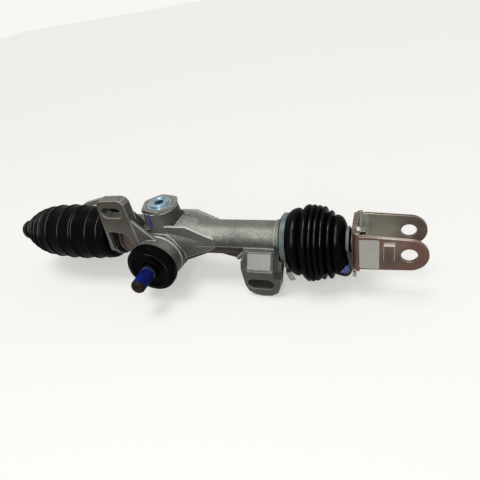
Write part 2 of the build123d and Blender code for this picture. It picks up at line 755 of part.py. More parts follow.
def main():
    outer, inner, balls = bearing_rings()
    save("housing", housing())
    save("rack_bush", rack_bush())
    save("rack_bush_clip", bush_clip())
    save("pinion_bearing_outer", outer)
    save("pinion_bearing_inner", inner)
    save("pinion_bearing_balls", balls)
    save("pinion_bearing_cage", bearing_cage())
    save("pinion_bearing_clip", bearing_clip())
    save("pinion_shaft_clip", shaft_clip())
    save("pinion_seal", pinion_seal())
    save("pinion_lower_bush", lower_bush())
    save("pinion_dust_cover", dust_cover())
    save("pinion_shaft", pinion_shaft())
    save("rack_bar", rack_bar())
    save("yoke_plunger", yoke_plunger())
    save("yoke_liner", yoke_liner())
    save("yoke_o_ring", yoke_ring())
    save("yoke_spring", yoke_spring())
    save("adjuster_plug", adjuster_plug())
    save("adjuster_locknut", adjuster_locknut())
    save("left_boot", left_boot())
    save("left_boot_large_band", large_band(LEFT_BAND_X, LEFT_SEAT_R, 5.2, 10))
    save("left_boot_small_band", small_band(RACK_LEFT + 3.5, SPIGOT_R + SOFT + BOOT_WALL))
    save("right_boot", right_boot())
    save("right_boot_large_band", large_band(RIGHT_BAND_X, SEAT_R, 12.0, -24))
    save("right_boot_small_band", small_band(RACK_RIGHT - 4.6, NECK_R))
    save("clevis", clevis())
    save("clevis_stop_plate", stop_plate())
    save("clevis_lock_washer", lock_washer())
    save("clevis_bolt", clevis_bolt())


main()
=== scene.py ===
import math
import bpy
from mathutils import Matrix, Vector, noise


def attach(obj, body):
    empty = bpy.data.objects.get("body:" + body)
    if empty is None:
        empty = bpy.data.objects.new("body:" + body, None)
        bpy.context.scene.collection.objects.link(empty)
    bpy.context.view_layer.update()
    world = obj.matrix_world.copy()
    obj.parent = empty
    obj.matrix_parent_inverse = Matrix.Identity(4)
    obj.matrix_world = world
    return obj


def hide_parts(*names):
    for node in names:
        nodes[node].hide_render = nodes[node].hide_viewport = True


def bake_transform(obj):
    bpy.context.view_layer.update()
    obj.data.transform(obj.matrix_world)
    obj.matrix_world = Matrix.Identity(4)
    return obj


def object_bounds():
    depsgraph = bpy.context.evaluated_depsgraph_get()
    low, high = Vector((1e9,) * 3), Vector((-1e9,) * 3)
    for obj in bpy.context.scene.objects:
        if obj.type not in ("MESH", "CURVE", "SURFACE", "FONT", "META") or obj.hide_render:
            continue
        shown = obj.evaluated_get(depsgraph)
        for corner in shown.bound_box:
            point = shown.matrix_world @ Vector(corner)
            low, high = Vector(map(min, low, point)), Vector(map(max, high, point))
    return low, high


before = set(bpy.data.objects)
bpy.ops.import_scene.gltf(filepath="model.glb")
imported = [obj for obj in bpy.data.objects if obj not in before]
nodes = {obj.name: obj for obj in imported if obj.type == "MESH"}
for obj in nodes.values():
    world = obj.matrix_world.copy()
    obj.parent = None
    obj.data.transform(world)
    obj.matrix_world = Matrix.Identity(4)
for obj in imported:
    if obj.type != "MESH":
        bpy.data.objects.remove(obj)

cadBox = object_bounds()
mm = 0.001
rackAxis = (0.0330, -0.0465)  # y and z of the rack's centre line
pinionAxis = (0.0361, -0.0583)  # x and z of the input shaft's centre line


def srgb(red, green, blue):
    def line(v):
        v = v / 255
        return v / 12.92 if v <= 0.04045 else ((v + 0.055) / 1.055) ** 2.4
    return (line(red), line(green), line(blue), 1.0)


# shader maths written as plain expressions

class Shade:
    def __init__(self, graph, socket):
        self.graph = graph
        self.socket = socket

    def math(self, operation, *others, clamp=False):
        settings = {"operation": operation, "use_clamp": clamp}
        return self.graph.node("ShaderNodeMath", settings, (self,) + others)

    def __add__(self, other):
        return self.math("ADD", other)

    __radd__ = __add__

    def __sub__(self, other):
        return self.math("SUBTRACT", other)

    def __rsub__(self, other):
        return self.graph.node("ShaderNodeMath", {"operation": "SUBTRACT"}, (other, self))

    def __mul__(self, other):
        return self.math("MULTIPLY", other)

    __rmul__ = __mul__

    def __abs__(self):
        return self.math("ABSOLUTE")

    def clip(self):
        return self.math("ADD", 0.0, clamp=True)

    def rise(self, low, high):  # 0 below low, 1 above high, soft between
        sockets = {0: self, 1: low, 2: high, 3: 0.0, 4: 1.0}
        return self.graph.node("ShaderNodeMapRange", {"interpolation_type": "SMOOTHSTEP"}, sockets)

    def fall(self, low, high):
        return 1 - self.rise(low, high)

    def inside(self, low, high, soft):  # 1 between the two limits
        return self.rise(low - soft, low + soft) * self.fall(high - soft, high + soft)


class Graph:
    def __init__(self, owner):
        owner.use_nodes = True
        self.tree = owner.node_tree
        self.tree.nodes.clear()

    def node(self, kind, settings=None, inputs=None, out=0):
        made = self.tree.nodes.new(kind)
        for name, value in (settings or {}).items():
            setattr(made, name, value)
        pairs = inputs.items() if isinstance(inputs, dict) else enumerate(inputs or ())
        for where, value in pairs:
            if isinstance(value, Shade):
                self.tree.links.new(value.socket, made.inputs[where])
            else:
                made.inputs[where].default_value = value
        return Shade(self, made.outputs[out]) if made.outputs else None


class Finish(Graph):
    def __init__(self, name, base, rough, metal=0.0):
        self.material = bpy.data.materials.new(name)
        super().__init__(self.material)
        shader = self.node("ShaderNodeBsdfPrincipled")
        self.node("ShaderNodeOutputMaterial", None, (shader,))
        self.shader = shader.socket.node
        self.material.diffuse_color = base
        self.put("Base Color", base)
        self.put("Roughness", rough)
        self.put("Metallic", metal)
        self.spot = self.node("ShaderNodeTexCoord", out="Object")
        self.along = None

    def put(self, name, value):
        if isinstance(value, Shade):
            self.tree.links.new(value.socket, self.shader.inputs[name])
        else:
            self.shader.inputs[name].default_value = value

    def axes(self):
        if not self.along:
            made = self.node("ShaderNodeSeparateXYZ", None, (self.spot,))
            self.along = [Shade(self, out) for out in made.socket.node.outputs]
        return self.along

    def zone(self, place):  # 1 within the place's limits along x, y and z, soft at their edges
        mask = None
        for key, limits in place.items():
            axis = self.axes()["xyz".index(key[0])]
            side = {"": axis.inside, "From": axis.rise, "To": axis.fall}[key[1:]](*limits)
            mask = side if mask is None else mask * side
        return mask

    def facing(self, axis):  # how far the surface faces along that axis, -1 to 1
        normal = self.node("ShaderNodeNewGeometry", out="Normal")
        return self.node("ShaderNodeSeparateXYZ", None, (normal,), axis)

    def mark(self, name):  # what markPoints has put on the piece
        return self.node("ShaderNodeAttribute", {"attribute_name": name}, None, "Fac")

    def stretch(self, scale, move=(0, 0, 0)):
        return self.node("ShaderNodeMapping", None, {"Vector": self.spot, "Location": move, "Scale": scale})

    def grain(self, scale, detail=3.0, rough=0.55, where=None, warp=0.0):
        sockets = {"Vector": where or self.spot, "Scale": scale, "Detail": detail}
        sockets.update({"Roughness": rough, "Distortion": warp})
        return self.node("ShaderNodeTexNoise", None, sockets)

    def cells(self, scale):
        return self.node("ShaderNodeTexVoronoi", None, {"Vector": self.spot, "Scale": scale})

    def blend(self, first, second, mask):
        return self.node("ShaderNodeMix", {"data_type": "RGBA"}, {0: mask, 6: first, 7: second}, 2)

    def bevelled(self, radius):
        return self.node("ShaderNodeBevel", {"samples": 6}, {"Radius": radius})

    def edges(self, rounded, low=0.02, high=0.2):  # 1 where the rounded normal leaves the flat one
        flat = self.node("ShaderNodeNewGeometry", out="Normal")
        dot = self.node("ShaderNodeVectorMath", {"operation": "DOT_PRODUCT"}, (rounded, flat), "Value")
        return (1 - dot).rise(low, high)

    def relief(self, height, strength, distance, normal=None):
        sockets = {"Height": height, "Strength": strength, "Distance": distance}
        if normal is not None:
            sockets["Normal"] = normal
        return self.node("ShaderNodeBump", None, sockets)


# camera

view = {
    "place": (0.27228, -0.30742, 0.19312),
    "right": (0.94024456, 0.29615359, -0.16802743),
    "up": (-0.03587241, 0.57688242, 0.81603912),
    "back": (0.33860498, -0.76124879, 0.5530343),
    "lens": 31.5456,
    "shiftY": 0.00457,
}


def placeCamera():
    bpy.ops.object.select_all(action="DESELECT")
    bpy.ops.object.camera_add()
    camera = bpy.context.object
    camera.name = "view_camera"
    turned = Matrix((view["right"], view["up"], view["back"])).transposed().to_4x4()
    camera.matrix_world = Matrix.Translation(view["place"]) @ turned
    camera.data.lens = view["lens"]
    camera.data.sensor_width = 36
    camera.data.shift_y = view["shiftY"]
    camera.data.clip_start = 0.01
    bpy.context.scene.camera = camera


placeCamera()
print("camera placed")


# finishes

castLook = {
    "pale": srgb(160, 161, 153),
    "dark": srgb(92, 93, 86),
    "uprightShade": srgb(77, 76, 70),
    "paintedSheen": srgb(206, 208, 199),
    "face": srgb(78, 67, 58),
    "warmShade": srgb(40, 25, 19),
    "edge": srgb(226, 225, 219),
    "machined": srgb(160, 161, 155),
    "recessShade": srgb(36, 32, 28),
    "shaded": srgb(47, 46, 39),
    "reddishReflection": srgb(104, 80, 70),
    "paint": srgb(30, 56, 150),
    "cloud": (38, 5, 0.6),
    "mottle": (520, 4, 0.68),
    "sand": (2600, 2, 0.5),
    "mill": (240, 900, 900),
    "pits": 900,
    "corner": 0.0012,
    "strokeLean": (0.09, 0.0102),
    "ridge": (0.0489, 0.0466, 0.0112),  # drop below zero, the x it is measured at, and its slope
    "height": {"sand": 0.00005, "mottle": 0.00016, "pits": 0.00006, "ridge": 0.0005, "cloud": 0.0002},
}

# where the casting's looks change, in metres: both limits and how soft they are, or one side's start and end
castPlaces = {
    "yokeFlank": {"x": (0.050, 0.078, 0.004)},
    "pinionBoss": {"x": (0.0100, 0.0620, 0.001), "yTo": (0.0130, 0.0150), "z": (-0.0900, -0.0300, 0.002)},
    "tube": {"x": (0.068, 0.164, 0.008), "yFrom": (0.0080, 0.0120)},
    "tubeBelly": {"x": (0.045, 0.175, 0.012), "yFrom": (0.0148, 0.0160)},
    "rightFoot": {"x": (0.1270, 0.1680, 0.0005), "z": (-0.0940, -0.0430, 0.0005), "yTo": (0.0148, 0.0152)},
    "padRows": {"z": (-0.0680, -0.0518, 0.0005), "xTo": (0.1630, 0.1634)},
    "ribEnd": {"x": (0.0950, 0.1040, 0.0005), "z": (-0.0540, -0.0370, 0.001), "yTo": (0.0200, 0.0210)},
    "leftSlot": {"yFrom": (0.0022, 0.0050), "z": (-0.0064, 0.0064, 0.0003), "x": (-0.0140, 0.0140, 0.0004)},
    "rightSlot": {"yFrom": (0.0022, 0.0050), "z": (-0.0905, -0.0777, 0.0003), "x": (0.1332, 0.1630, 0.0004)},
    "leftFoot": {"zFrom": (-0.04, -0.03)},
    "leftFace": {"zFrom": (-0.02, -0.01)},
    "spigot": {"y": (0.0050, 0.0300, 0.002), "z": (-0.0620, -0.0270, 0.003), "xTo": (0.006, 0.012)},
    "spigotRoot": {"xTo": (-0.0085, -0.0060)},
    "frontFlange": {"y": (0.0136, 0.0180, 0.0003), "x": (0.0500, 0.0990, 0.001), "zFrom": (-0.046, -0.044)},
    "rearFlange": {"y": (0.0470, 0.0500, 0.0005), "x": (0.0540, 0.0900, 0.001)},
    "pad": {"x": (0.1362, 0.1608, 0.0002), "z": (-0.0663, -0.0512, 0.0003)},
    "padSurround": {"x": (0.1270, 0.1680, 0.0005), "z": (-0.0800, -0.0430, 0.0005)},
    "footFaces": {"yTo": (0.0026, 0.0030)},
    "cheek": {"xFrom": (0.1626, 0.1634), "z": (-0.0760, -0.0440, 0.001), "yTo": (0.028, 0.032)},
    "stroke": {"z": (-0.0245, -0.0100, 0.0010), "yTo": (0.020, 0.022)},
    "ridge": {"xFrom": (0.076, 0.080), "xTo": (0.158, 0.160), "yTo": (0.0180, 0.0215)},
}


def castAluminium():
    look = castLook
    f = Finish("cast_aluminium_finish", look["pale"], 0.5, 0.3)
    at = {name: f.zone(place) for name, place in castPlaces.items()}
    x, y, z = f.axes()
    cloud = f.grain(*look["cloud"])
    mottle = f.grain(*look["mottle"])
    sand = f.grain(*look["sand"])
    pits = f.cells(look["pits"])
    upward = f.facing(2)
    forward = 0 - f.facing(1)
    colour = f.blend(look["dark"], look["pale"], (cloud * 0.5 + mottle * 0.75).rise(0.42, 0.80))
    # painted shade: upright faces darker, faces turned straight up darker except on the yoke flank, and the
    # pinion boss darker
    uprightShade = upward.fall(0.10, 0.62)
    colour = f.blend(colour, look["uprightShade"], uprightShade * (0.55 + mottle * 0.25))
    topShade = upward.rise(0.80, 0.98) * (1 - at["yokeFlank"])
    colour = f.blend(colour, look["dark"], topShade * 0.6)
    colour = f.blend(colour, look["dark"], at["pinionBoss"] * 0.3)
    # painted highlight across the front of the tube
    paintedSheen = upward.inside(0.52, 0.88, 0.10) * at["tube"]
    colour = f.blend(colour, look["paintedSheen"], paintedSheen * (0.08 + cloud * 0.34))
    # warm painted shade under the tube
    underShade = (0 - upward).rise(-0.45, 0.20) * at["tubeBelly"]
    colour = f.blend(colour, look["warmShade"], underShade * 0.92)
    # corners with wear and a painted highlight where they face up, less so round the pad, the lower slot and
    # the end of the front rib, where the painted highlight is dimmed
    rounded = f.bevelled(look["corner"])
    unlitCorners = (at["rightFoot"] * (1 - at["padRows"]) + at["ribEnd"]).clip()
    wornAndLitEdge = f.edges(rounded, 0.006, 0.06) * (1 - unlitCorners * 0.7)
    # painted shade inside both slots, lighter on the floor of the left slot, a painted reddish reflection on
    # the spigot behind the left foot and painted shade at its root
    deep = (at["leftSlot"] + at["rightSlot"]).clip()
    low = (deep * upward.rise(0.2, 0.8) * at["leftFoot"]).clip()
    colour = f.blend(colour, look["recessShade"], deep * (1 - low * 0.5) * 0.9)
    colour = f.blend(colour, look["reddishReflection"], at["spigot"] * 0.75)
    colour = f.blend(colour, look["recessShade"], at["spigot"] * at["spigotRoot"] * 0.75)
    # painted highlights on the front flange's upper lip, on corners that face up and on the rear flange's
    # front face
    colour = f.blend(colour, look["edge"], upward.rise(0.6, 0.8) * at["frontFlange"] * 0.6)
    colour = f.blend(colour, look["edge"], wornAndLitEdge * (mottle * 0.4 + 0.68) * upward.rise(-0.6, 0.1) * (1 - deep))
    colour = f.blend(colour, look["edge"], forward.rise(0.8, 0.9) * at["rearFlange"] * (mottle * 0.5 + 0.27))
    # milled seat of the locating pad and both mounting faces; the forward-facing mounting faces, the slope
    # round the pad and the right foot's cheek are darkened as painted shade
    slope = forward.inside(0.70, 0.90, 0.02) * upward.inside(0.45, 0.70, 0.02)
    pad = slope * at["pad"]
    faces = forward.rise(0.97, 0.995) * at["footFaces"]
    mill = f.grain(1.0, 2, 0.5, f.stretch(look["mill"]))
    colour = f.blend(colour, look["face"], faces * (0.3 + at["leftFace"] * 0.45))
    colour = f.blend(colour, look["shaded"], slope * at["padSurround"] * (1 - pad) * 0.8)
    colour = f.blend(colour, look["shaded"], at["cheek"] * 0.85)
    colour = f.blend(colour, look["machined"], pad * (mill * 0.3 + 0.66))
    smooth = (pad + faces * 0.4).clip()
    # paint stroke down the yoke boss
    lean, top = look["strokeLean"]
    stroke = x + (z + top) * lean + (f.grain(900, 2) - 0.5) * 0.0012
    stroke = stroke.inside(0.0318, 0.0344, 0.0005) * at["stroke"]
    stroke = stroke * (f.grain(700, 3).rise(0.30, 0.48) * 0.5 + 0.45)
    colour = f.blend(colour, look["paint"], stroke)
    # parting line along the tube
    drop, start, slant = look["ridge"]
    ridge = abs(z + drop - (x - start) * slant).fall(0.0002, 0.0006) * at["ridge"]
    colour = f.blend(colour, look["edge"], ridge * (mottle * 0.8 + 0.1))
    f.put("Base Color", colour)
    f.put("Roughness", (0.42 + mottle * 0.2 + cloud * 0.1 - smooth * 0.1 - wornAndLitEdge * 0.06).clip())
    f.put("Metallic", (0.26 - stroke * 0.26 + wornAndLitEdge * 0.3 - uprightShade * 0.16 - deep * 0.2 - underShade * 0.24).clip())
    f.put("Specular IOR Level", 0.2)
    h = look["height"]
    height = sand * h["sand"] + mottle * h["mottle"] + pits * h["pits"] * (1 - smooth)
    height = height + ridge * h["ridge"] + cloud * h["cloud"]
    f.put("Normal", f.relief(height * (1 - smooth * 0.7), 0.8, 1.0, rounded))
    return f.material


rubberLook = {
    "base": srgb(6, 6, 6),
    "dust": srgb(22, 21, 20),
    "bloom": srgb(16, 15, 15),
    "crestHighlight": srgb(122, 121, 118),
    "paint": srgb(138, 150, 228),
}

rubberPlaces = {
    "leftBoot": {"xTo": (-0.02, -0.01)},
    "noseHighlight": {"x": (-0.1320, -0.1190, 0.003)},
    "coverArc": {"xFrom": (0.0340, 0.0400), "zFrom": (-0.0600, -0.0500)},
}


def bootRubber():
    look = rubberLook
    f = Finish("boot_rubber_finish", look["base"], 0.36)
    haze = f.grain(60, 4, 0.6)
    fine = f.grain(1500, 3, 0.6)
    streak = f.grain(1.0, 3, 0.6, f.stretch((700, 40, 40)))
    crest = f.mark("crest")
    shown = f.facing(2).inside(0.38, 0.88, 0.12)
    colour = f.blend(look["base"], look["dust"], haze.rise(0.45, 0.85) * 0.3 + streak.rise(0.6, 0.9) * 0.1)
    # random dust, then a painted highlight along the rib crests on the side that faces up, stronger on the
    # left boot and on a patch near its nose
    colour = f.blend(colour, look["dust"], crest * shown)
    crestHighlight = crest.rise(0.86, 1.0) * 0.35 + crest.rise(0.50, 0.92) * f.zone(rubberPlaces["leftBoot"]) * 0.75
    crestHighlight = crestHighlight + f.zone(rubberPlaces["noseHighlight"]) * haze.rise(0.3, 0.7) * 0.4
    colour = f.blend(colour, look["crestHighlight"], crestHighlight.clip() * shown * (0.45 + haze * 0.7))
    # paint daub low on the right boot, broken up by noise
    daub = f.mark("daub")
    daub = (daub + (f.grain(230, 4, 0.7) - 0.5) * 1.6).rise(0.36, 0.46) * daub.rise(0.02, 0.20)
    daub = daub * f.grain(640, 3, 0.7).rise(0.36, 0.48)
    colour = f.blend(colour, look["paint"], daub * 0.9)
    f.put("Base Color", colour)
    f.put("Roughness", (0.30 + haze * 0.12 + fine * 0.08).clip())
    f.put("Normal", f.relief(fine * 0.00005 + haze * 0.0003, 0.6, 1.0))
    f.put("Specular IOR Level", 0.01)
    f.put("Coat Weight", (crest.rise(0.62, 1.0) * shown * (0.6 + haze * 0.5) + 0.04).clip())
    f.put("Coat Roughness", 0.14)
    return f.material


def coverRubber():
    look = rubberLook
    f = Finish("cover_rubber_finish", look["base"], 0.42)
    haze = f.grain(80, 4, 0.6)
    fine = f.grain(1800, 3, 0.6)
    arc = f.zone(rubberPlaces["coverArc"])
    crest = f.mark("crest")
    colour = f.blend(look["base"], look["bloom"], haze.rise(0.45, 0.85) * 0.6)
    # painted highlight on the bead's upper right arc
    colour = f.blend(colour, look["crestHighlight"], crest.rise(0.55, 1.0) * arc * 0.4)
    f.put("Base Color", colour)
    f.put("Roughness", (0.34 + haze * 0.14 + fine * 0.10).clip())
    f.put("Specular IOR Level", 0.01)
    f.put("Coat Weight", crest.rise(0.30, 0.95) * arc * 0.95 + 0.03)
    f.put("Coat Roughness", 0.16)
    f.put("Normal", f.relief(fine * 0.00006 + haze * 0.0002, 0.6, 1.0))
    return f.material


clevisLook = {
    "bronze": srgb(84, 66, 56),
    "rose": srgb(114, 78, 66),
    "green": srgb(162, 160, 145),
    "edge": srgb(226, 216, 206),
    "shade": srgb(66, 54, 46),
    "pale": srgb(196, 206, 196),
    "corner": 0.0007,
    "rub": (90, 900, 1400),
}

clevisPlaces = {
    "inner": {"y": (0.0140, 0.0520, 0.0012), "xTo": (0.262, 0.300), "xFrom": (0.2418, 0.2428)},
    "lowerTab": {"zTo": (-0.0692, -0.0682)},
    "nearLow": {"zTo": (-0.064, -0.052), "yTo": (0.014, 0.016)},
    "farEar": {"yFrom": (0.0500, 0.0520), "yTo": (0.0560, 0.0562), "xFrom": (0.268, 0.288)},
    "farFold": {"x": (0.2436, 0.2506, 0.0012), "y": (0.0440, 0.0562, 0.001), "zTo": (-0.030, -0.027)},
    "window": {"x": (0.2650, 0.2770, 0.0004), "z": (-0.0620, -0.0362, 0.0004), "yTo": (0.013, 0.014)},
    "windowLip": {"x": (0.2661, 0.2754, 0.0003), "z": (-0.0352, -0.0332, 0.0003), "yTo": (0.013, 0.014)},
    "stopEdge": {"xTo": (0.2396, 0.2404)},
    "nearRim": {"y": (0.0070, 0.0150, 0.0004)},
}


def clevisZinc():
    look = clevisLook
    f = Finish("clevis_zinc_finish", look["bronze"], 0.34, 0.4)
    at = {name: f.zone(place) for name, place in clevisPlaces.items()}
    drift = f.grain(26, 3, 0.5, None, 0.6)
    patch = f.grain(55, 4, 0.55, f.stretch((1, 1, 1), (0.31, 0.12, 0.55)))
    fine = f.grain(1900, 3, 0.6)
    inner = (at["inner"] + at["lowerTab"]).clip()
    colour = f.blend(look["bronze"], look["rose"], (drift.rise(0.42, 0.66) * 0.7 + at["nearLow"] * 0.6).clip())
    colour = f.blend(colour, look["green"], (patch.rise(0.46, 0.76) * 0.3 + inner * 0.95).clip())
    colour = f.blend(colour, look["shade"], at["farEar"] * 0.45)
    # painted highlight inside the far ear's fold
    colour = f.blend(colour, look["pale"], at["farFold"] * (0.45 + patch * 0.5))
    rounded = f.bevelled(look["corner"])
    # corners with wear and painted highlights, less so round the window and the stop plate's edge
    wornAndLitEdge = f.edges(rounded) * (1 - at["window"] * 0.75) * (1 - at["stopEdge"] * 0.6)
    # painted highlight on the window's top lip
    colour = f.blend(colour, look["edge"], at["windowLip"] * 0.9)
    # painted highlight on the near ear's rims that face up
    rim = f.facing(2).rise(0.82, 0.97) * at["nearRim"]
    colour = f.blend(colour, look["edge"], (wornAndLitEdge * 0.6 + rim * (0.1 + 0.45 * patch.rise(0.4, 0.6))).clip())
    rub = f.grain(1.0, 3, 0.6, f.stretch(look["rub"])).rise(0.62, 0.78)
    colour = f.blend(colour, look["edge"], rub * 0.10)
    f.put("Base Color", colour)
    f.put("Metallic", 0.4)
    f.put("Roughness", (0.26 + drift * 0.12 + fine * 0.08 - wornAndLitEdge * 0.06).clip())
    f.put("Normal", f.relief(fine * 0.00004 + patch * 0.0003, 0.5, 1.0, rounded))
    return f.material


platingWear = srgb(232, 232, 230)


def plating(name, pale, dark, rough, metal, scale=180, bevel=0.0005, tint=None):
    f = Finish(name, pale, rough, metal)
    cloud = f.grain(scale * 0.4, 4, 0.6)
    fine = f.grain(scale * 10, 3, 0.6)
    colour = f.blend(dark, pale, (cloud * 0.8 + fine * 0.25).rise(0.30, 0.70))
    if tint:
        colour = f.blend(colour, tint, f.grain(scale * 0.7, 2, 0.5, None, 1.0).rise(0.50, 0.66) * 0.7)
    rounded = f.bevelled(bevel)
    colour = f.blend(colour, platingWear, f.edges(rounded) * 0.5)
    f.put("Base Color", colour)
    f.put("Roughness", (cloud * 0.12 + fine * 0.08 + (rough - 0.08)).clip())
    f.put("Normal", f.relief(fine * 0.00003 + cloud * 0.0001, 0.5, 1.0, rounded))
    return f.material


shaftLook = {
    "bright": srgb(150, 146, 140),
    "steel": (srgb(84, 78, 72), srgb(140, 134, 126)),
    "oxide": (srgb(20, 14, 10), srgb(60, 47, 35)),
    "paint": (srgb(2, 6, 40), srgb(10, 38, 160)),
    "paintGlint": srgb(90, 150, 230),
    "turned": (60, 2600, 60),
    "runs": (1100, 90, 1100),
    "tip": {"yTo": (-0.0440, -0.0434)},
    "painted": {"y": (-0.0447, -0.0215, 0.0005)},
    "corner": 0.0003,
}


def shaftSteel():
    look = shaftLook
    f = Finish("shaft_steel_finish", look["bright"], 0.34, 0.9)
    fine = f.grain(2200, 3, 0.6)
    blotch = f.grain(330, 4, 0.65)
    ring = f.grain(1.0, 2, 0.5, f.stretch(look["turned"]))
    steel = f.blend(*look["steel"], (fine * 0.4 + ring * 0.6).rise(0.3, 0.7))
    oxide = f.blend(*look["oxide"], blotch.rise(0.35, 0.65))
    tip = f.zone(look["tip"])
    colour = f.blend(steel, oxide, tip * 0.97)
    painted = f.zone(look["painted"]) * (1 - tip * blotch.rise(0.3, 0.45))
    run = f.grain(1.0, 2, 0.6, f.stretch(look["runs"]))
    film = f.blend(*look["paint"], (blotch * 0.4 + run * 0.6).rise(0.40, 0.62))
    # painted highlight streaks on the blue paint
    film = f.blend(film, look["paintGlint"], run.rise(0.66, 0.76) * 0.6)
    colour = f.blend(colour, film, painted * (0.96 - blotch.rise(0.72, 0.80) * 0.5))
    f.put("Base Color", colour)
    f.put("Metallic", (0.85 - painted * 0.82 - tip * 0.85).clip())
    f.put("Specular IOR Level", 0.08)
    f.put("Roughness", (0.26 + fine * 0.12 + blotch * 0.16 + painted * 0.02 + tip * 0.3).clip())
    height = blotch * 0.00016 * painted + fine * 0.00003
    f.put("Normal", f.relief(height, 0.6, 1.0, f.bevelled(look["corner"])))
    return f.material


labelLook = {
    "base": srgb(216, 214, 209),
    "paper": (srgb(198, 197, 190), srgb(182, 180, 172)),
    "rim": srgb(178, 172, 165),
    "middle": {"x": (0.2453, 0.2620, 0.0003), "z": (-0.0625, -0.0311, 0.0003)},
}


def labelPaper():
    look = labelLook
    f = Finish("blank_label_finish", look["base"], 0.55)
    fibre = f.grain(1600, 4, 0.65)
    haze = f.grain(70, 3, 0.5)
    colour = f.blend(*look["paper"], haze.rise(0.4, 0.8) * 0.5 + fibre * 0.25)
    colour = f.blend(colour, look["rim"], (1 - f.zone(look["middle"])) * 0.6)
    f.put("Base Color", colour)
    f.put("Roughness", (0.46 + fibre * 0.16).clip())
    f.put("Normal", f.relief(fibre * 0.00004, 0.4, 1.0))
    return f.material


bandLook = {
    "base": srgb(108, 120, 118),
    "steel": (srgb(80, 91, 90), srgb(116, 129, 126)),
    "edge": srgb(205, 212, 210),
    "black": srgb(12, 12, 12),
    "brush": (2400, 60, 60),
    "corner": 0.0004,
    "noseClamp": {"xTo": (-0.150, -0.140)},
    "clampEars": {"zTo": (-0.0752, -0.0742)},
}


def bandSteel():
    look = bandLook
    f = Finish("band_finish", look["base"], 0.45, 0.1)
    brush = f.grain(1.0, 3, 0.6, f.stretch(look["brush"]))
    haze = f.grain(110, 3, 0.5)
    colour = f.blend(*look["steel"], (brush * 0.5 + haze * 0.5).rise(0.32, 0.68))
    rounded = f.bevelled(look["corner"])
    colour = f.blend(colour, look["edge"], f.edges(rounded) * 0.6)
    colour = f.blend(colour, look["black"], (f.zone(look["noseClamp"]) + f.zone(look["clampEars"])).clip())
    f.put("Base Color", colour)
    f.put("Specular IOR Level", 0.3)
    f.put("Roughness", (0.36 + brush * 0.12 + haze * 0.08).clip())
    f.put("Normal", f.relief(brush * 0.00006, 0.5, 1.0, rounded))
    return f.material


platings = {  # pale and dark colour, roughness, metal, then the grain's scale, the corner and a tint
    "bush_polymer": (srgb(196, 186, 160), srgb(170, 160, 132), 0.5, 0.0),
    "bush_bronze": (srgb(176, 132, 78), srgb(140, 100, 56), 0.38, 0.85),
    "bearing_steel": (srgb(200, 200, 202), srgb(160, 160, 164), 0.22, 0.95),
    "spring_steel": (srgb(104, 102, 104), srgb(64, 63, 66), 0.38, 0.85),
    "yoke_aluminium": (srgb(190, 190, 188), srgb(150, 150, 148), 0.36, 0.8),
    "zinc_plug": (srgb(160, 180, 190), srgb(88, 116, 132), 0.2, 0.85, 260, 0.0005, srgb(96, 160, 184)),
    "nut_steel": (srgb(136, 135, 130), srgb(96, 95, 90), 0.36, 0.5, 240, 0.0007),
    "bolt_copper": (srgb(112, 94, 82), srgb(70, 57, 48), 0.34, 0.6, 240, 0.0005),
    "lock_tab": (srgb(214, 216, 214), srgb(176, 180, 178), 0.24, 0.8),
    "strap_end": (srgb(206, 207, 204), srgb(150, 152, 150), 0.3, 0.0),
}

finishes = {name: plating(name + "_finish", *values) for name, values in platings.items()}
finishes["cast_aluminium"] = castAluminium()
finishes["shaft_steel"] = shaftSteel()
finishes["seal_rubber"] = finishes["cover_rubber"] = coverRubber()
finishes["boot_rubber"] = bootRubber()
finishes["band_steel"] = bandSteel()
finishes["clevis_zinc"] = clevisZinc()
finishes["label"] = labelPaper()

for part in nodes.values():
    for place in part.material_slots:
        place.material = finishes[place.material.name.split(".")[0]]
for place in nodes["clevis_bolt"].material_slots:
    place.material = finishes["bolt_copper"]
print("finishes on", len(nodes), "nodes")


# shaping helpers

def startAlone():
    if bpy.context.object and bpy.context.object.mode != "OBJECT":
        bpy.ops.object.mode_set(mode="OBJECT")
    bpy.ops.object.select_all(action="DESELECT")


def settle(piece, smoothAngle):  # applies what is live and shades edges below the angle in degrees smooth
    startAlone()
    piece.select_set(True)
    bpy.context.view_layer.objects.active = piece
    bpy.ops.object.transform_apply(location=True, rotation=True, scale=True)
    for each in list(piece.modifiers):
        bpy.ops.object.modifier_apply(modifier=each.name)
    bpy.ops.object.shade_smooth_by_angle(angle=math.radians(smoothAngle))


def dress(piece, name, body, slot, finish=None):
    piece.name = name
    piece.data.name = name
    piece.data.materials.clear()
    piece.data.materials.append(finish or finishes[slot])
    if body:
        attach(piece, body)


roundSides = 96  # of both boots and the dust cover


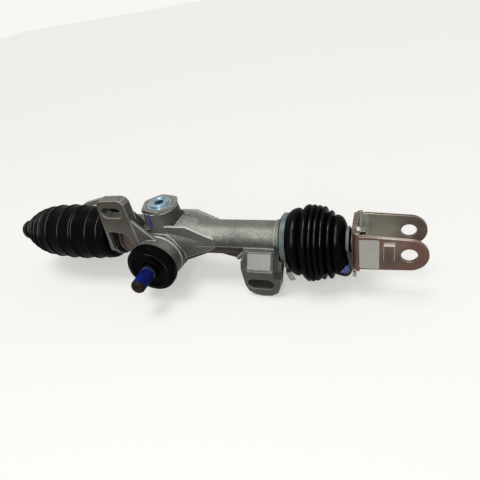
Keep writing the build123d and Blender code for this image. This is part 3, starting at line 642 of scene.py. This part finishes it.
def turnRings(rings, axis, centre, closed=False):
    # a circle pulled along its axis ring by ring, each ring scaled to its own radius
    startAlone()
    along = {"X": Vector((1, 0, 0)), "Y": Vector((0, 1, 0))}[axis]
    turn = {"X": (0, math.pi / 2, 0), "Y": (math.pi / 2, 0, 0)}[axis]
    middle = Vector(centre)
    place = middle + along * rings[0][0]
    bpy.ops.mesh.primitive_circle_add(vertices=roundSides, radius=rings[0][1], location=place, rotation=turn)
    piece = bpy.context.object
    bpy.ops.object.mode_set(mode="EDIT")
    bpy.ops.mesh.select_all(action="SELECT")
    track = list(rings) + ([rings[0]] if closed else [])
    for (a0, r0), (a1, r1) in zip(track, track[1:]):
        bpy.ops.mesh.extrude_edges_move(TRANSFORM_OT_translate={"value": along * (a1 - a0)})
        grow = r1 / r0
        scale = [grow, grow, grow]
        scale["XYZ".index(axis)] = 1.0
        bpy.ops.transform.resize(value=scale, center_override=middle + along * a1)
    bpy.ops.mesh.select_all(action="SELECT")
    bpy.ops.mesh.remove_doubles(threshold=0.01 * mm)
    bpy.ops.mesh.normals_make_consistent(inside=False)
    bpy.ops.object.mode_set(mode="OBJECT")
    return piece


def addModifier(piece, kind, **settings):
    made = piece.modifiers.new(kind.lower(), kind)
    for name, value in settings.items():
        setattr(made, name, value)
    return made


def markPoints(piece, name, share):  # share gives 0 to 1 for each point of the mesh
    marks = piece.data.attributes.new(name, "FLOAT", "POINT")
    for v, mark in zip(piece.data.vertices, marks.data):
        mark.value = share(piece.matrix_world @ v.co)


def reshapeRound(piece, change):  # change takes x, angle and radius round the rack and gives x and radius
    turned = piece.matrix_world.copy()
    back = turned.inverted()
    for v in piece.data.vertices:
        p = turned @ v.co
        angle = math.atan2(p.z - rackAxis[1], p.y - rackAxis[0])
        x, r = change(p.x, angle, math.hypot(p.z - rackAxis[1], p.y - rackAxis[0]))
        y = rackAxis[0] + r * math.cos(angle)
        z = rackAxis[1] + r * math.sin(angle)
        v.co = back @ Vector((x, y, z))


def markCrests(piece, ridges, reach):  # 1 on each ridge, 0 at its reach
    markPoints(piece, "crest", lambda p: max(0.0, 1 - min(abs(p.x - x) for x in ridges) / reach))


# boots

leftBoot = {
    # x and radius in mm, from the housing outwards
    "cuff": [(-14.9, 22.3), (-16.2, 22.8), (-19.0, 22.6), (-26.0, 22.6),
             (-27.8, 23.4), (-28.9, 26.4), (-30.4, 28.9), (-33.6, 29.8)],
    "crests": [(-38.4, 30.8), (-52.4, 32.0), (-71.4, 32.9), (-75.2, 32.6), (-90.4, 33.0), (-108.4, 32.1),
               (-121.4, 30.2), (-130.4, 27.8), (-137.9, 24.8), (-144.4, 21.4), (-150.6, 17.4)],
    "ribHeight": 0.95,
    "ribWidth": 1.05,
    "dip": 0.5,
    "nose": [(-154.4, 13.6), (-156.4, 11.4), (-157.6, 10.4), (-163.4, 10.2),
             (-165.4, 10.2), (-166.6, 9.6), (-167.0, 8.2)],
    "thickness": 1.3,
    "crestReach": 0.9,
    "uneven": {"from": -154, "to": -34, "scale": 55, "round": 1.7, "high": 0.4, "sink": 0.2},
}


def leftBootRings():
    s = leftBoot
    rings = list(s["cuff"])
    w = s["ribWidth"]
    h = s["ribHeight"]
    for i, (x, r) in enumerate(s["crests"]):
        if i:
            xp, rp = s["crests"][i - 1]
            gap = xp - x
            dip = min(s["dip"], gap * 0.05)
            rings.append((xp - w, rp - h))
            if gap > 5:
                rings.append((xp - w * 1.9, rp - h - dip * 0.6))
                rings.append((xp - gap * 0.5, (rp + r) / 2 - h - dip * 0.5))
                rings.append((x + w * 1.9, r - h - dip * 0.6))
        rings += [(x + w, r - h), (x + w * 0.45, r - h * 0.3), (x, r), (x - w * 0.45, r - h * 0.3)]
    rings += s["nose"]
    return [(x * mm, r * mm) for x, r in rings]


def unevenLeft(x, angle, r):  # the rubber is a little uneven between its ribs
    s = leftBoot["uneven"]
    if s["from"] * mm < x < s["to"] * mm:
        spot = Vector((x * s["scale"], math.cos(angle) * s["round"], math.sin(angle) * s["round"]))
        r += (noise.noise(spot) * s["high"] - s["sink"]) * mm
    return x, r


def makeLeftBoot():
    piece = turnRings(leftBootRings(), "X", (0, rackAxis[0], rackAxis[1]))
    markCrests(piece, [x * mm for x, r in leftBoot["crests"]], leftBoot["crestReach"] * mm)
    reshapeRound(piece, unevenLeft)
    addModifier(piece, "SOLIDIFY", thickness=leftBoot["thickness"] * mm, offset=-1)
    addModifier(piece, "SUBSURF", levels=1, render_levels=1)
    settle(piece, 60)
    dress(piece, "left_boot_bellows", None, "boot_rubber")
    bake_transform(piece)
    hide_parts("left_boot")


makeLeftBoot()
print("left boot")

rightBoot = {
    "cuff": [(168.8, 23.7), (170.2, 24.1), (171.0, 24.0), (174.4, 24.0)],
    # each fold: crest x and radius, reach and drop on its left, then on its right, and the valley after it
    "folds": [
        (184.4, 31.1, 8.8, 5.4, 3.4, 2.2, 3.4),
        (195.0, 34.4, 4.4, 3.6, 2.5, 1.7, 3.0),
        (200.4, 34.2, 2.3, 1.7, 2.2, 1.7, 3.0),
        (205.4, 33.5, 2.3, 1.7, 2.3, 1.7, 3.0),
        (210.9, 32.6, 2.5, 1.7, 1.9, 2.8, 3.4),
        (216.9, 28.6, 2.5, 2.4, 2.1, 1.6, 2.6),
        (223.2, 24.8, 2.7, 1.6, 7.0, 6.2, 0),
    ],
    "nose": [(231.4, 15.6), (231.9, 13.0), (232.3, 12.2), (236.4, 12.1), (236.9, 11.2)],
    "thickness": 1.3,
    # how far the underside hangs down at each x
    "sag": [(174.4, 0.0), (175.6, 5.0), (178.0, 9.0), (181.0, 11.5), (189.0, 10.5),
            (195.0, 12.5), (204.0, 12.0), (210.0, 9.7), (212.8, 8.6), (217.0, 13.4),
            (223.0, 14.5), (229.0, 18.5), (231.4, 15.0), (231.9, 5.0), (232.3, 0.0)],
    # how far the last fold leans over the neck, and from which x over which length
    "lean": 6.4,
    "leanFrom": 218.0,
    "leanOver": 9.0,
    "lumps": {"scale": 190, "round": 2.4, "above": 0.25, "below": 3.0},
    "crestReach": 1.2,
    "daub": (232.4, 15.0, -68.5),  # the middle of the paint daub
    "daubReach": 8.5,
}


def between(table, at):
    for (x0, y0), (x1, y1) in zip(table, table[1:]):
        if x0 <= at <= x1:
            return y0 + (y1 - y0) * (at - x0) / (x1 - x0)
    return 0.0


def rightBootRings():
    s = rightBoot
    rings = list(s["cuff"])
    for i, (x, r, left, leftDrop, right, rightDrop, valley) in enumerate(s["folds"]):
        rings += [(x - left, r - leftDrop), (x - left * 0.62, r - leftDrop * 0.34), (x, r)]
        rings += [(x + right * 0.62, r - rightDrop * 0.34), (x + right, r - rightDrop)]
        if valley:
            after = s["folds"][i + 1]
            middle = (x + right + after[0] - after[2]) / 2
            deep = min(r, after[1]) - valley
            rings += [(middle - 0.15, deep), (middle + 0.15, deep)]
    rings += s["nose"]
    return [(x * mm, r * mm) for x, r in rings]


def sagRight(x, angle, r):  # the folds hang down between the two ends
    s = rightBoot
    lump = s["lumps"]
    low = max(0.0, -math.sin(angle))
    hang = between(s["sag"], x / mm)
    spot = Vector((x * lump["scale"], math.cos(angle) * lump["round"], math.sin(angle) * lump["round"]))
    rough = noise.noise(spot) * (lump["above"] + lump["below"] * low) * min(1.0, hang / 8.0)
    lean = min(1.0, max(0.0, (x / mm - s["leanFrom"]) / s["leanOver"]))
    lean *= min(1.0, hang / 12.0) * low ** 1.6
    return x + s["lean"] * lean * mm, r + (hang * low ** 2.3 + rough) * mm


def makeRightBoot():
    piece = turnRings(rightBootRings(), "X", (0, rackAxis[0], rackAxis[1]))
    markCrests(piece, [fold[0] * mm for fold in rightBoot["folds"]], rightBoot["crestReach"] * mm)
    reshapeRound(piece, sagRight)
    daub = Vector(rightBoot["daub"]) * mm
    reach = rightBoot["daubReach"] * mm
    markPoints(piece, "daub", lambda p: max(0.0, 1 - (p - daub).length / reach))
    addModifier(piece, "SOLIDIFY", thickness=rightBoot["thickness"] * mm, offset=-1)
    addModifier(piece, "SUBSURF", levels=1, render_levels=1)
    settle(piece, 60)
    dress(piece, "right_boot_bellows", None, "boot_rubber")
    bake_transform(piece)
    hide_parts("right_boot")


makeRightBoot()
print("right boot")

dustCover = {
    "bead": (-18.4, 21.5),  # y and radius of the raised bead
    "beadReach": 0.9,
    # y and radius, once round the section
    "rings": [(-7.8, 25.35), (-7.6, 26.3), (-8.0, 26.9), (-8.7, 27.4), (-12.0, 27.4), (-15.2, 27.4),
              (-16.2, 27.0), (-16.9, 25.9), (-17.5, 23.4), (-18.3, 22.2), (-18.4, 21.5), (-18.1, 20.8),
              (-16.8, 19.4), (-16.2, 18.4), (-16.0, 12.6), (-16.4, 11.2), (-17.4, 10.4), (-20.8, 9.8),
              (-21.3, 9.5), (-21.4, 8.6), (-21.0, 8.2), (-20.0, 7.8), (-16.2, 7.8), (-13.6, 10.8),
              (-13.9, 16.0), (-15.1, 19.0), (-14.6, 22.0), (-12.4, 23.7), (-12.3, 25.2)],
}


def beadShare(p):  # 1 on the bead, 0 at its reach
    y, r = dustCover["bead"]
    out = math.hypot(p.x - pinionAxis[0], p.z - pinionAxis[1]) - r * mm
    return max(0.0, 1 - math.hypot(out, p.y - y * mm) / (dustCover["beadReach"] * mm))


def makeDustCover():
    rings = [(a * mm, r * mm) for a, r in dustCover["rings"]]
    piece = turnRings(rings, "Y", (pinionAxis[0], 0, pinionAxis[1]), closed=True)
    markPoints(piece, "crest", beadShare)
    addModifier(piece, "SUBSURF", levels=1, render_levels=1)
    settle(piece, 50)
    dress(piece, "pinion_dust_cover_moulded", "housing", "cover_rubber")
    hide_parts("pinion_dust_cover")


makeDustCover()
print("dust cover")

bandTail = {
    "start": (174.6, 17.6, -79.0),
    "lean": (0.45, -0.1),  # sideways at each step
    "drop": 9.0,
    "steps": 8,
    "wide": 6.0,
    "thick": 0.8,
    "corner": 0.12,
    "twist": -24,
}


def makeBandTail():  # the free end of the large band's strap, twisted below it
    s = bandTail
    startAlone()
    bpy.ops.mesh.primitive_plane_add(size=1, location=Vector(s["start"]) * mm)
    piece = bpy.context.object
    piece.scale = (s["wide"] * mm, s["thick"] * mm, 1)
    bpy.ops.object.transform_apply(location=True, rotation=True, scale=True)
    bpy.ops.object.mode_set(mode="EDIT")
    bpy.ops.mesh.select_all(action="SELECT")
    step = Vector((s["lean"][0], s["lean"][1], -s["drop"] / s["steps"])) * mm
    turn = math.radians(s["twist"] / s["steps"])
    for i in range(s["steps"]):
        bpy.ops.mesh.extrude_region_move(TRANSFORM_OT_translate={"value": step})
        centre = Vector(s["start"]) * mm + step * (i + 1)
        bpy.ops.transform.rotate(value=turn, orient_axis="Z", center_override=centre)
    bpy.ops.mesh.select_all(action="SELECT")
    bpy.ops.mesh.normals_make_consistent(inside=False)
    bpy.ops.object.mode_set(mode="OBJECT")
    addModifier(piece, "BEVEL", width=s["corner"] * mm, segments=2)
    settle(piece, 50)
    dress(piece, "right_band_strap_end", "housing", "band_steel", finishes["strap_end"])


makeBandTail()
print("strap end")

lockTab = {"centre": (243.7, 19.6, -25.3), "size": (4.4, 5.4, 4.2), "turn": (0.2, 0.1, 0.35), "round": 1.6}


def makeLockTab():  # the corner of the lock washer that is hammered over the strap
    s = lockTab
    startAlone()
    bpy.ops.mesh.primitive_cube_add(size=1, location=Vector(s["centre"]) * mm, rotation=s["turn"])
    piece = bpy.context.object
    piece.scale = [c * mm for c in s["size"]]
    bpy.ops.object.transform_apply(location=False, rotation=False, scale=True)
    addModifier(piece, "BEVEL", width=s["round"] * mm, segments=5)
    settle(piece, 60)
    dress(piece, "lock_washer_fold", "rack", "nut_steel", finishes["lock_tab"])


makeLockTab()
print("lock tab")

labelPatch = {"x": (244.9, 262.4), "z": (-62.9, -30.7), "y": 11.17, "corner": 1.8, "thick": 0.1}


def makeLabel():
    startAlone()
    x0, x1 = labelPatch["x"]
    z0, z1 = labelPatch["z"]
    middle = ((x0 + x1) / 2 * mm, labelPatch["y"] * mm, (z0 + z1) / 2 * mm)
    bpy.ops.mesh.primitive_plane_add(size=1, location=middle, rotation=(math.pi / 2, 0, 0))
    piece = bpy.context.object
    piece.scale = ((x1 - x0) * mm, (z1 - z0) * mm, 1)
    bpy.ops.object.transform_apply(location=True, rotation=True, scale=True)
    bpy.ops.object.mode_set(mode="EDIT")
    bpy.ops.mesh.select_all(action="SELECT")
    bpy.ops.mesh.bevel(offset=labelPatch["corner"] * mm, segments=5, affect="VERTICES")
    bpy.ops.object.mode_set(mode="OBJECT")
    addModifier(piece, "SOLIDIFY", thickness=labelPatch["thick"] * mm, offset=0)
    settle(piece, 30)
    dress(piece, "blank_label", "rack", "clevis_zinc", finishes["label"])


makeLabel()
print("label")


# floor, lamps and backdrop

studio = {
    "floor": srgb(246, 245, 241),
    "floorSize": 8,
    "floorMiddle": (0.1, 0.2),
    "floorGap": 0.001,  # below the lowest point of the part
    "floorGlow": 0.46,
    "floorShade": 0.62,
    "floorBounce": srgb(112, 108, 102),
    "sky": (0.96, 0.98, 1.0, 1),
    "skyStrength": 0.34,
    "backdrop": srgb(247, 247, 244),
    "sun": {"from": (-0.18, -0.12, 1.0), "strength": 1.35, "softness": 30},
    "lamps": {
        "front": {"place": (0.30, -0.92, 0.62), "aim": (0.08, 0.03, -0.05), "size": (0.07, 1.0), "power": 4.6},
        "side": {"place": (0.85, -0.85, 0.35), "aim": (0.12, 0.03, -0.05), "size": (0.6, 0.6), "power": 0.12},
    },
}


def aimLamp(lamp, way):
    lamp.rotation_euler = way.to_track_quat("-Z", "Y").to_euler()


def makeSun():
    startAlone()
    bpy.ops.object.light_add(type="SUN", location=(0.1, 0, 1.2))
    lamp = bpy.context.object
    lamp.name = "lamp_sun"
    lamp.data.energy = studio["sun"]["strength"]
    lamp.data.angle = math.radians(studio["sun"]["softness"])
    aimLamp(lamp, -Vector(studio["sun"]["from"]))


def makeLamps():
    for name, s in studio["lamps"].items():
        startAlone()
        bpy.ops.object.light_add(type="AREA", location=s["place"])
        lamp = bpy.context.object
        lamp.name = "lamp_" + name
        lamp.data.shape = "RECTANGLE"
        lamp.data.size, lamp.data.size_y = s["size"]
        lamp.data.energy = s["power"]
        aimLamp(lamp, Vector(s["aim"]) - Vector(s["place"]))


def seenRays(graph):  # 1 for what is looked at straight, in gloss or through glass
    seen = graph.node("ShaderNodeLightPath", out="Is Camera Ray")
    outs = seen.socket.node.outputs
    for ray in ("Is Glossy Ray", "Is Transmission Ray"):
        seen = seen.math("MAXIMUM", Shade(graph, outs[ray]))
    return seen


def makeFloor():
    startAlone()
    low = cadBox[0][2] - studio["floorGap"]
    bpy.ops.mesh.primitive_plane_add(size=studio["floorSize"], location=(*studio["floorMiddle"], low))
    floor = bpy.context.object
    floor.name = "studio_floor"
    material = bpy.data.materials.new("studio_floor_finish")
    graph = Graph(material)
    shaded = [studio["floorShade"] * c for c in studio["floor"][:3]] + [1]
    bounce = graph.node("ShaderNodeBsdfDiffuse", None, (studio["floorBounce"],))
    seen = graph.node("ShaderNodeBsdfDiffuse", None, (shaded,))
    glow = graph.node("ShaderNodeEmission", None, (studio["floor"], studio["floorGlow"]))
    both = graph.node("ShaderNodeAddShader", None, (seen, glow))
    mix = graph.node("ShaderNodeMixShader", None, (seenRays(graph), bounce, both))
    graph.node("ShaderNodeOutputMaterial", None, (mix,))
    floor.data.materials.append(material)


def makeWorld():
    world = bpy.data.worlds.new("studio_world")
    bpy.context.scene.world = world
    graph = Graph(world)
    soft = graph.node("ShaderNodeBackground", None, (studio["sky"], studio["skyStrength"]))
    seen = graph.node("ShaderNodeBackground", None, (studio["backdrop"], 1.0))
    mix = graph.node("ShaderNodeMixShader", None, (seenRays(graph), soft, seen))
    graph.node("ShaderNodeOutputWorld", None, (mix,))


makeFloor()
makeWorld()
makeSun()
makeLamps()
bpy.context.scene.view_settings.view_transform = "Standard"
print("studio")
